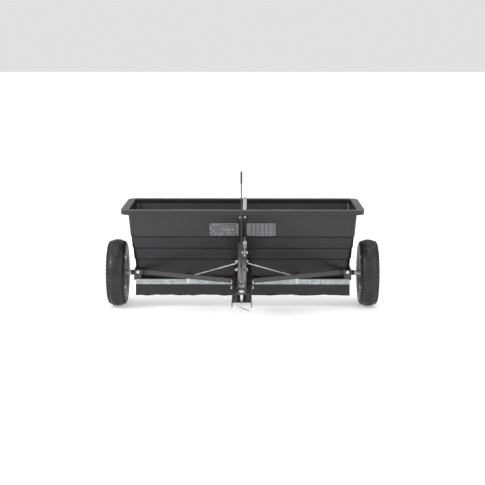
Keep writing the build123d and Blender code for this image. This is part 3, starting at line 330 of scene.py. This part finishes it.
# ---------------------------------------------------------------- tyres
# Pneumatic tyres of black rubber, moulded with bands round the sidewall and five
# rows of small tread blocks, staggered and standing 4 mm proud of the casing.
tyre_rubber, tree, shader = new_material("moulded_tyre_rubber", Roughness=0.5, IOR=1.52)
place = add_node(tree, "ShaderNodeTexCoord").outputs["Object"]
dust = add_node(tree, "ShaderNodeTexNoise", {
    "Vector": place, "Scale": 18.0, "Detail": 6.0, "Roughness": 0.65})
tyre_tint = add_node(tree, "ShaderNodeValToRGB", {"Fac": dust.outputs["Fac"]})
tyre_tint.color_ramp.elements[0].position = 0.35
tyre_tint.color_ramp.elements[0].color = linear("#0d0d0e")
tyre_tint.color_ramp.elements[1].position = 0.78
tyre_tint.color_ramp.elements[1].color = linear("#232221")
tree.links.new(tyre_tint.outputs["Color"], shader.inputs["Base Color"])
tyre_gloss = add_node(tree, "ShaderNodeMapRange", {
    "Value": dust.outputs["Fac"], "From Min": 0.3, "From Max": 0.7, "To Min": 0.36, "To Max": 0.6})
tree.links.new(tyre_gloss.outputs[0], shader.inputs["Roughness"])
grain = add_node(tree, "ShaderNodeTexNoise", {"Vector": place, "Scale": 1 / 0.0013, "Detail": 2.0})
grain_bump = add_node(tree, "ShaderNodeBump", {
    "Height": grain.outputs["Fac"], "Strength": 0.25, "Distance": 0.0004})
tree.links.new(grain_bump.outputs[0], shader.inputs["Normal"])

block_tree = bpy.data.node_groups.new("tread_blocks", "GeometryNodeTree")
for socket, kind, value in (
    ("Rows", "NodeSocketInt", 5), ("Blocks in a row", "NodeSocketInt", 44),
    ("Row spacing", "NodeSocketFloat", 0.0150), ("Block length", "NodeSocketFloat", 0.0152),
    ("Block width", "NodeSocketFloat", 0.0100), ("Block height", "NodeSocketFloat", 0.0078),
    ("Crown radius", "NodeSocketFloat", 0.1636), ("Shoulder drop", "NodeSocketFloat", 0.0122),
    ("Shoulder reach", "NodeSocketFloat", 0.0385), ("Rubber", "NodeSocketMaterial", None),
):
    made = block_tree.interface.new_socket(socket, in_out="INPUT", socket_type=kind)
    if value is not None:
        made.default_value = value
block_tree.interface.new_socket("Geometry", in_out="OUTPUT", socket_type="NodeSocketGeometry")
given = add_node(block_tree, "NodeGroupInput").outputs
total = add_node(block_tree, "ShaderNodeMath", {
    0: given["Rows"], 1: given["Blocks in a row"]}, operation="MULTIPLY")
points = add_node(block_tree, "GeometryNodeMeshLine", {"Count": total.outputs[0]})
index = add_node(block_tree, "GeometryNodeInputIndex").outputs[0]
row_real = add_node(block_tree, "ShaderNodeMath", {
    0: index, 1: given["Blocks in a row"]}, operation="DIVIDE")
row = add_node(block_tree, "ShaderNodeMath", {0: row_real.outputs[0]}, operation="FLOOR")
last_row = add_node(block_tree, "ShaderNodeMath", {0: given["Rows"], 1: 1.0}, operation="SUBTRACT")
middle = add_node(block_tree, "ShaderNodeMath", {
    0: last_row.outputs[0], 1: 0.5}, operation="MULTIPLY")
from_middle = add_node(block_tree, "ShaderNodeMath", {
    0: row.outputs[0], 1: middle.outputs[0]}, operation="SUBTRACT")
across = add_node(block_tree, "ShaderNodeMath", {
    0: from_middle.outputs[0], 1: given["Row spacing"]}, operation="MULTIPLY")
half_step = add_node(block_tree, "ShaderNodeMath", {
    0: row.outputs[0], 1: 0.5}, operation="MULTIPLY")
turned = add_node(block_tree, "ShaderNodeMath", {
    0: index, 1: half_step.outputs[0]}, operation="ADD")
turns = add_node(block_tree, "ShaderNodeMath", {
    0: turned.outputs[0], 1: given["Blocks in a row"]}, operation="DIVIDE")
angle = add_node(block_tree, "ShaderNodeMath", {
    0: turns.outputs[0], 1: math.tau}, operation="MULTIPLY")
reach = add_node(block_tree, "ShaderNodeMath", {
    0: across.outputs[0], 1: given["Shoulder reach"]}, operation="DIVIDE")
squared = add_node(block_tree, "ShaderNodeMath", {
    0: reach.outputs[0], 1: reach.outputs[0]}, operation="MULTIPLY")
drop = add_node(block_tree, "ShaderNodeMath", {
    0: squared.outputs[0], 1: given["Shoulder drop"]}, operation="MULTIPLY")
radius = add_node(block_tree, "ShaderNodeMath", {
    0: given["Crown radius"], 1: drop.outputs[0]}, operation="SUBTRACT")
slope = add_node(block_tree, "ShaderNodeMath", {
    0: given["Shoulder drop"], 1: given["Shoulder reach"]}, operation="DIVIDE")
steep = add_node(block_tree, "ShaderNodeMath", {
    0: slope.outputs[0], 1: reach.outputs[0]}, operation="MULTIPLY")
lean = add_node(block_tree, "ShaderNodeMath", {0: steep.outputs[0], 1: 2.0}, operation="MULTIPLY")
sine = add_node(block_tree, "ShaderNodeMath", {0: angle.outputs[0]}, operation="SINE")
cosine = add_node(block_tree, "ShaderNodeMath", {0: angle.outputs[0]}, operation="COSINE")
fore = add_node(block_tree, "ShaderNodeMath", {
    0: radius.outputs[0], 1: sine.outputs[0]}, operation="MULTIPLY")
up = add_node(block_tree, "ShaderNodeMath", {
    0: radius.outputs[0], 1: cosine.outputs[0]}, operation="MULTIPLY")
aft = add_node(block_tree, "ShaderNodeMath", {0: fore.outputs[0], 1: -1.0}, operation="MULTIPLY")
where = add_node(block_tree, "ShaderNodeCombineXYZ", {
    "X": across.outputs[0], "Y": aft.outputs[0], "Z": up.outputs[0]})
placed = add_node(block_tree, "GeometryNodeSetPosition", {
    "Geometry": points.outputs[0], "Position": where.outputs[0]})
around = add_node(block_tree, "ShaderNodeCombineXYZ", {"X": angle.outputs[0]})
tipped = add_node(block_tree, "ShaderNodeCombineXYZ", {"Y": lean.outputs[0]})
turn = add_node(block_tree, "FunctionNodeRotateRotation", {
    0: add_node(block_tree, "FunctionNodeEulerToRotation", {0: around.outputs[0]}).outputs[0],
    1: add_node(block_tree, "FunctionNodeEulerToRotation", {0: tipped.outputs[0]}).outputs[0],
}, rotation_space="LOCAL")

size = add_node(block_tree, "ShaderNodeCombineXYZ", {
    "X": given["Block width"], "Y": given["Block length"], "Z": given["Block height"]})
block = add_node(block_tree, "GeometryNodeMeshCube", {
    "Size": size.outputs[0], "Vertices X": 4, "Vertices Y": 4, "Vertices Z": 2})
at = add_node(block_tree, "GeometryNodeInputPosition").outputs[0]
ratio = add_node(block_tree, "ShaderNodeVectorMath", {
    0: at, 1: size.outputs[0]}, operation="DIVIDE")
side = add_node(block_tree, "ShaderNodeSeparateXYZ", {0: ratio.outputs[0]})
far_x = add_node(block_tree, "ShaderNodeMath", {0: side.outputs[0]}, operation="ABSOLUTE")
far_y = add_node(block_tree, "ShaderNodeMath", {0: side.outputs[1]}, operation="ABSOLUTE")
far = add_node(block_tree, "ShaderNodeMath", {
    0: far_x.outputs[0], 1: far_y.outputs[0]}, operation="MAXIMUM")
on_top = add_node(block_tree, "ShaderNodeMath", {
    0: side.outputs[2], 1: 0.0}, operation="GREATER_THAN")
on_edge = add_node(block_tree, "ShaderNodeMath", {
    0: far.outputs[0], 1: 0.4}, operation="GREATER_THAN")
top_edge = add_node(block_tree, "ShaderNodeMath", {
    0: on_top.outputs[0], 1: on_edge.outputs[0]}, operation="MULTIPLY")
fall = add_node(block_tree, "ShaderNodeMath", {
    0: given["Block height"], 1: -0.16}, operation="MULTIPLY")
chamfer = add_node(block_tree, "ShaderNodeCombineXYZ", {"Z": fall.outputs[0]})
edged = add_node(block_tree, "GeometryNodeSetPosition", {
    "Geometry": block.outputs[0], "Selection": top_edge.outputs[0], "Offset": chamfer.outputs[0]})
inner = add_node(block_tree, "ShaderNodeMath", {0: far.outputs[0], 1: 0.4}, operation="LESS_THAN")
flat_top = add_node(block_tree, "GeometryNodeSetPosition", {
    "Geometry": edged.outputs[0], "Selection": inner.outputs[0],
    "Offset": add_node(block_tree, "ShaderNodeVectorMath", {
        0: at, 1: (1.2, 1.2, 0.0)}, operation="MULTIPLY").outputs[0]})
stamped = add_node(block_tree, "GeometryNodeInstanceOnPoints", {
    "Points": placed.outputs[0], "Instance": flat_top.outputs[0], "Rotation": turn.outputs[0]})
whole = add_node(block_tree, "GeometryNodeRealizeInstances", {0: stamped.outputs[0]})
coated = add_node(block_tree, "GeometryNodeSetMaterial", {
    "Geometry": whole.outputs[0], "Material": given["Rubber"]})
add_node(block_tree, "NodeGroupOutput", {0: coated.outputs[0]})


def grown(name, tree, values, material):
    """The plain mesh object that a node tree makes from these named sizes."""
    host = mesh_piece(name, [(0, 0, 0)], [], material)
    modifier = host.modifiers.new(name, "NODES")
    modifier.node_group = tree
    for socket in tree.interface.items_tree:
        if socket.item_type == "SOCKET" and socket.in_out == "INPUT" and socket.name in values:
            modifier[socket.identifier] = values[socket.name]
    bpy.context.view_layer.update()
    graph = bpy.context.evaluated_depsgraph_get()
    mesh = bpy.data.meshes.new_from_object(host.evaluated_get(graph), depsgraph=graph)
    host.modifiers.remove(modifier)
    host.data = mesh
    return host


def turned_ring(name, section, centre, steps, material):
    """A closed section of (across, radius) points spun about a wheel's axle."""
    points, faces, n = [], [], len(section)
    for k in range(steps):
        a = math.tau * k / steps
        points += [(centre.x + x, centre.y + r * math.sin(a), centre.z + r * math.cos(a))
                   for x, r in section]
    for k in range(steps):
        near, next_ = k * n, (k + 1) % steps * n
        faces += [(near + i, near + (i + 1) % n, next_ + (i + 1) % n, next_ + i) for i in range(n)]
    return mesh_piece(name, points, faces, material)


half_casing = [
    (0.0, 0.1636), (0.0100, 0.1633), (0.0190, 0.1622), (0.0270, 0.1600), (0.0330, 0.1567),
    (0.0374, 0.1522), (0.0406, 0.1468), (0.0426, 0.1415), (0.0440, 0.1410), (0.0445, 0.1386),
    (0.0438, 0.1378), (0.0447, 0.1330), (0.0452, 0.1260), (0.0459, 0.1255), (0.0460, 0.1232),
    (0.0452, 0.1226), (0.0448, 0.1140), (0.0434, 0.1060), (0.0418, 0.1004), (0.0424, 0.0998),
    (0.0420, 0.0974), (0.0410, 0.0970), (0.0394, 0.0924), (0.0368, 0.0888), (0.0344, 0.0880),
    (0.0344, 0.0770)]
half_lining = [
    (0.0250, 0.0770), (0.0250, 0.0920), (0.0350, 0.1050), (0.0390, 0.1220), (0.0360, 0.1400),
    (0.0290, 0.1510), (0.0160, 0.1565)]
outside = [(-x, r) for x, r in reversed(half_casing[1:])] + half_casing
inside = half_lining + [(-x, r) for x, r in reversed(half_lining)]
for side, body in (("left", "idler_wheel"), ("right", "axle")):
    low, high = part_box(side + "_tyre")
    hub = (low + high) / 2
    casing = turned_ring(side + "_casing", outside + inside, hub, 144, tyre_rubber)
    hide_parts(side + "_tyre")
    middle_rows = grown(side + "_tread", block_tree, {"Rubber": tyre_rubber}, tyre_rubber)
    shoulder_rows = grown(side + "_shoulder", block_tree, {
        "Rows": 2, "Row spacing": 0.0806, "Blocks in a row": 44, "Block length": 0.0150,
        "Block width": 0.0140, "Block height": 0.0046, "Crown radius": 0.1722,
        "Shoulder drop": 0.0210, "Shoulder reach": 0.0403,
        "Rubber": tyre_rubber}, tyre_rubber)
    for piece in (middle_rows, shoulder_rows):
        piece.data.transform(Matrix.Translation(hub))
    for piece in (casing, middle_rows, shoulder_rows):
        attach(piece, body)


# ---------------------------------------------------------------- skirt
# A strip of sheet rubber, drawn 2.6 mm thick, bolted behind the pan's front edge.
# It hangs free below, so it has taken waves, and it is marked by downward wipes.
skirt_rubber, tree, shader = new_material("calendered_sheet_rubber", Roughness=0.52, IOR=1.52)
place = add_node(tree, "ShaderNodeTexCoord").outputs["Object"]
drawn_down = add_node(tree, "ShaderNodeMapping", {"Vector": place, "Scale": (90.0, 90.0, 9.0)})
wipes = add_node(tree, "ShaderNodeTexNoise", {
    "Vector": drawn_down.outputs[0], "Scale": 1.0, "Detail": 4.0})
haze = add_node(tree, "ShaderNodeTexNoise", {"Vector": place, "Scale": 12.0, "Detail": 4.0})
marked = add_node(tree, "ShaderNodeMath", {
    0: wipes.outputs["Fac"], 1: haze.outputs["Fac"]}, operation="MULTIPLY")
skirt_tint = add_node(tree, "ShaderNodeValToRGB", {"Fac": marked.outputs[0]})
skirt_tint.color_ramp.elements[0].position = 0.12
skirt_tint.color_ramp.elements[0].color = linear("#0c0d12")
skirt_tint.color_ramp.elements[1].position = 0.42
skirt_tint.color_ramp.elements[1].color = linear("#1b1d25")
tree.links.new(skirt_tint.outputs["Color"], shader.inputs["Base Color"])
weft = add_node(tree, "ShaderNodeTexNoise", {"Vector": place, "Scale": 1 / 0.0018, "Detail": 2.0})
weft_bump = add_node(tree, "ShaderNodeBump", {
    "Height": weft.outputs["Fac"], "Strength": 0.15, "Distance": 0.0004})
tree.links.new(weft_bump.outputs[0], shader.inputs["Normal"])

low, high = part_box("skirt")
columns, rows, sheet_half = 180, 12, 0.0013
hem_lift, notch_half, notch_top = 0.0026, 0.0155, 0.130
points, faces = [], []
for face_side in (-1, 1):
    for i in range(columns + 1):
        x = low.x + (high.x - low.x) * i / columns
        for j in range(rows + 1):
            free = 1 - j / rows
            sway = (0.0052 * math.sin(x * 23.5 + 0.6) + 0.0030 * math.sin(x * 57.0 + 2.1)
                    + 0.0012 * math.sin(x * 141.0))
            hem = 0.0016 * math.sin(x * 31.0 + 1.2) + 0.0009 * math.sin(x * 83.0)
            top = notch_top if abs(x) < notch_half else high.z
            points.append((x, (low.y + high.y) / 2 + face_side * sheet_half - abs(sway) * free ** 1.6,
                           low.z + hem_lift + hem * free + (top - low.z - hem_lift) * j / rows))
row_size, sheet_size = rows + 1, (columns + 1) * (rows + 1)
for i in range(columns):
    for j in range(rows):
        a = i * row_size + j
        faces.append((a, a + row_size, a + row_size + 1, a + 1))
        faces.append((a + sheet_size, a + 1 + sheet_size,
                      a + row_size + 1 + sheet_size, a + row_size + sheet_size))
for i in range(columns):
    for j in (0, rows):
        a = i * row_size + j
        faces.append((a, a + row_size, a + row_size + sheet_size, a + sheet_size))
for j in range(rows):
    for i in (0, columns):
        a = i * row_size + j
        faces.append((a, a + 1, a + 1 + sheet_size, a + sheet_size))
skirt = mesh_piece("rubber_skirt", points, faces, skirt_rubber)
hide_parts("skirt")
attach(skirt, "frame")


# ---------------------------------------------------------------- drawbar, tongue and braces
# A folded channel runs forward to the hitch, with a square tube bent up over it
# to a strap on the tub. Flat braces spread from it, and bright rods stay the pan.
finish_cad(black_paint, "drawbar", "drawbar_bracket", "tongue_mount", "hitch_tab",
           "left_brace", "right_brace")
gloss_enamel, tree, shader = new_material(
    "black_gloss_enamel_painted_reflection", Roughness=0.2, IOR=1.5, Coat_Weight=1.0, Coat_Roughness=0.08)
place = add_node(tree, "ShaderNodeTexCoord").outputs["Object"]
brushed_on = add_node(tree, "ShaderNodeTexNoise", {"Vector": place, "Scale": 8.0, "Detail": 4.0})
# The tube is black enamel, yet its base colour here is a pinkish grey far lighter than black: painted
# reflection of the white studio in the gloss.
enamel_painted_reflection_tint = add_node(tree, "ShaderNodeValToRGB", {"Fac": brushed_on.outputs["Fac"]})
enamel_painted_reflection_tint.color_ramp.elements[0].position = 0.3
enamel_painted_reflection_tint.color_ramp.elements[0].color = linear("#3e3839")
enamel_painted_reflection_tint.color_ramp.elements[1].position = 0.7
enamel_painted_reflection_tint.color_ramp.elements[1].color = linear("#4a4344")
tree.links.new(enamel_painted_reflection_tint.outputs["Color"], shader.inputs["Base Color"])
flow = add_node(tree, "ShaderNodeTexNoise", {"Vector": place, "Scale": 1 / 0.004, "Detail": 1.0})
flow_bump = add_node(tree, "ShaderNodeBump", {
    "Height": flow.outputs["Fac"], "Strength": 0.05, "Distance": 0.0003})
tree.links.new(flow_bump.outputs[0], shader.inputs["Normal"])
finish_cad(gloss_enamel, "tongue_tube")
finish_cad(zinc_plate, "left_strut", "right_strut", "bracket_bolts", "mount_bolts",
           "tongue_bolts", "brace_bolts", "strut_bolt", "hitch_pin", "hitch_clip")


# ---------------------------------------------------------------- flow lever and grip
# A plated steel strip on a pivot bolt, drawing the shutter through a rod. Its
# end is dipped in black vinyl, thick and glossy, with soft finger ridges.
dull_zinc, tree, shader = new_material("dull_passivated_zinc", Metallic=1.0, Roughness=0.42)
place = add_node(tree, "ShaderNodeTexCoord").outputs["Object"]
rolled = add_node(tree, "ShaderNodeMapping", {"Vector": place, "Scale": (300.0, 300.0, 14.0)})
rolling = add_node(tree, "ShaderNodeTexNoise", {
    "Vector": rolled.outputs[0], "Scale": 1.0, "Detail": 3.0})
lever_tint = add_node(tree, "ShaderNodeValToRGB", {"Fac": rolling.outputs["Fac"]})
lever_tint.color_ramp.elements[0].position = 0.3
lever_tint.color_ramp.elements[0].color = linear("#3f4042")
lever_tint.color_ramp.elements[1].position = 0.75
lever_tint.color_ramp.elements[1].color = linear("#5b5b5a")
tree.links.new(lever_tint.outputs["Color"], shader.inputs["Base Color"])
rolling_bump = add_node(tree, "ShaderNodeBump", {
    "Height": rolling.outputs["Fac"], "Strength": 0.1, "Distance": 0.0002})
tree.links.new(rolling_bump.outputs[0], shader.inputs["Normal"])
finish_cad(dull_zinc, "lever")
finish_cad(zinc_plate, "lever_pivot_bolt", "link_rod", "link_bolt")
finish_cad(nylon, "lever_spacers")
vinyl, tree, shader = new_material(
    "dipped_black_vinyl", Roughness=0.34, IOR=1.54, Coat_Weight=0.15, Coat_Roughness=0.2)
place = add_node(tree, "ShaderNodeTexCoord").outputs["Object"]
handled = add_node(tree, "ShaderNodeTexNoise", {"Vector": place, "Scale": 70.0, "Detail": 4.0})
vinyl_tint = add_node(tree, "ShaderNodeValToRGB", {"Fac": handled.outputs["Fac"]})
vinyl_tint.color_ramp.elements[0].color = linear("#0d0d0e")
vinyl_tint.color_ramp.elements[1].color = linear("#1e1e20")
tree.links.new(vinyl_tint.outputs["Color"], shader.inputs["Base Color"])
skin = add_node(tree, "ShaderNodeTexNoise", {"Vector": place, "Scale": 1 / 0.0014, "Detail": 2.0})
skin_bump = add_node(tree, "ShaderNodeBump", {
    "Height": skin.outputs["Fac"], "Strength": 0.15, "Distance": 0.0003})
tree.links.new(skin_bump.outputs[0], shader.inputs["Normal"])
low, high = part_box("lever_grip")
middle, half = (low + high) / 2, (high - low) / 2
rings, sides = 56, 40
points, faces = [], []
for k in range(rings + 1):
    t = k / rings
    rounded = (math.sqrt(max(0.0, 1 - max(0.0, (t - 0.86) / 0.14) ** 2.4))
               * (0.93 + 0.07 * min(1.0, t * 14)))
    ridge = 0.945 + 0.045 * math.sin(math.tau * 4.5 * t)
    for s in range(sides):
        a = math.tau * s / sides
        c, d = math.cos(a), math.sin(a)
        points.append((middle.x + half.x * rounded * math.copysign(abs(c) ** 0.62, c),
                       middle.y + half.y * rounded * ridge * math.copysign(abs(d) ** 0.8, d),
                       low.z + (high.z - low.z) * t))
for k in range(rings):
    for s in range(sides):
        a, b = k * sides + s, k * sides + (s + 1) % sides
        faces.append((a, b, b + sides, a + sides))
faces += [tuple(range(sides)), tuple(range(rings * sides, (rings + 1) * sides))]
grip = mesh_piece("vinyl_grip", points, faces, vinyl)
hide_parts("lever_grip")
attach(grip, "lever")


# ---------------------------------------------------------------- flow stop and its spring
# A threaded stop rod sets how far the lever can open. A wing nut moves it, and
# a coil of 2 mm spring wire between the collar and rear lug takes up the slack.
finish_cad(zinc_plate, "stop_rod", "wing_nut")
finish_cad(galvanised, "stop_lugs")
ramp_angle = math.radians(21.11)
ramp_start = Vector((0.0, 0.28725 - 0.410, 0.2634))
along = Vector((0.0, math.cos(ramp_angle), math.sin(ramp_angle)))
above = Vector((0.0, -math.sin(ramp_angle), math.cos(ramp_angle)))
coil_start, coil_end, coil_radius, wire_radius, coil_turns = 0.1534, 0.1888, 0.0079, 0.00095, 8
rod_side, rod_rise, fixed_end = 0.011, 0.0385, 0.1898
stations, sides = coil_turns * 28, 10
points, faces = [], []
for k in range(stations + 1):
    t = k / stations
    a = math.tau * coil_turns * t
    radial = Vector((1, 0, 0)) * math.cos(a) + above * math.sin(a)
    heart = (ramp_start + Vector((rod_side, 0, 0)) + above * rod_rise
             + along * (coil_start + (coil_end - coil_start) * t) + radial * coil_radius)
    for s in range(sides):
        b = math.tau * s / sides
        points.append(heart + radial * wire_radius * math.cos(b) + along * wire_radius * math.sin(b))
for k in range(stations):
    for s in range(sides):
        a, b = k * sides + s, k * sides + (s + 1) % sides
        faces.append((a, b, b + sides, a + sides))
faces += [tuple(range(sides)), tuple(range(stations * sides, (stations + 1) * sides))]
spring = mesh_piece("stop_coil", points, faces, zinc_plate)
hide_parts("stop_spring")
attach(spring, "frame")
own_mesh(spring)


# ---------------------------------------------------------------- setting label
# A silver vinyl label on the front wall, with plain bars on its left half and
# an empty ruled table on its right, printed in dark ink.
label_vinyl, tree, shader = new_material("printed_silver_vinyl", Roughness=0.35, IOR=1.5)
place = add_node(tree, "ShaderNodeTexCoord").outputs["Object"]
axes = add_node(tree, "ShaderNodeSeparateXYZ", {0: place}).outputs
line_pitch, column_pitch, bars_end, table_start = 0.0074, 0.021, -0.028, 0.034
line_no = add_node(tree, "ShaderNodeMath", {0: axes["Z"], 1: 1 / line_pitch}, operation="MULTIPLY")
line_at = add_node(tree, "ShaderNodeMath", {0: line_no.outputs[0]}, operation="FRACT")
line_on = add_node(tree, "ShaderNodeMath", {0: line_at.outputs[0], 1: 0.45}, operation="LESS_THAN")
bar_place = add_node(tree, "ShaderNodeMapping", {"Vector": place, "Scale": (95.0, 0.0, 135.0)})
bars = add_node(tree, "ShaderNodeTexWhiteNoise", {"Vector": add_node(
    tree, "ShaderNodeVectorMath", {0: bar_place.outputs[0]},
    operation="FLOOR").outputs[0]}, noise_dimensions="3D")
bar_on = add_node(tree, "ShaderNodeMath", {
    0: bars.outputs["Value"], 1: 0.22}, operation="GREATER_THAN")
left_half = add_node(tree, "ShaderNodeMath", {0: axes["X"], 1: bars_end}, operation="LESS_THAN")
rule_x = add_node(tree, "ShaderNodeMath", {0: add_node(tree, "ShaderNodeMath", {
    0: add_node(tree, "ShaderNodeMath", {
        0: axes["X"], 1: 1 / column_pitch}, operation="MULTIPLY").outputs[0]},
    operation="FRACT").outputs[0], 1: 0.12}, operation="LESS_THAN")
rule_z = add_node(tree, "ShaderNodeMath", {0: line_at.outputs[0], 1: 0.2}, operation="LESS_THAN")
ruled = add_node(tree, "ShaderNodeMath", {
    0: rule_x.outputs[0], 1: rule_z.outputs[0]}, operation="MAXIMUM")
right_half = add_node(tree, "ShaderNodeMath", {0: axes["X"], 1: table_start},
    operation="GREATER_THAN")
inked_left = add_node(tree, "ShaderNodeMath", {
    0: line_on.outputs[0], 1: bar_on.outputs[0]}, operation="MULTIPLY")
ink_l = add_node(tree, "ShaderNodeMath", {
    0: inked_left.outputs[0], 1: left_half.outputs[0]}, operation="MULTIPLY")
ink_r = add_node(tree, "ShaderNodeMath", {
    0: ruled.outputs[0], 1: right_half.outputs[0]}, operation="MULTIPLY")
ink = add_node(tree, "ShaderNodeMath", {
    0: ink_l.outputs[0], 1: ink_r.outputs[0]}, operation="MAXIMUM")
label_colour = add_node(tree, "ShaderNodeMix", {
    "Factor": ink.outputs[0], "A": linear("#77787a"), "B": linear("#18191b")}, data_type="RGBA")
tree.links.new(label_colour.outputs["Result"], shader.inputs["Base Color"])
finish_cad(label_vinyl, "label")
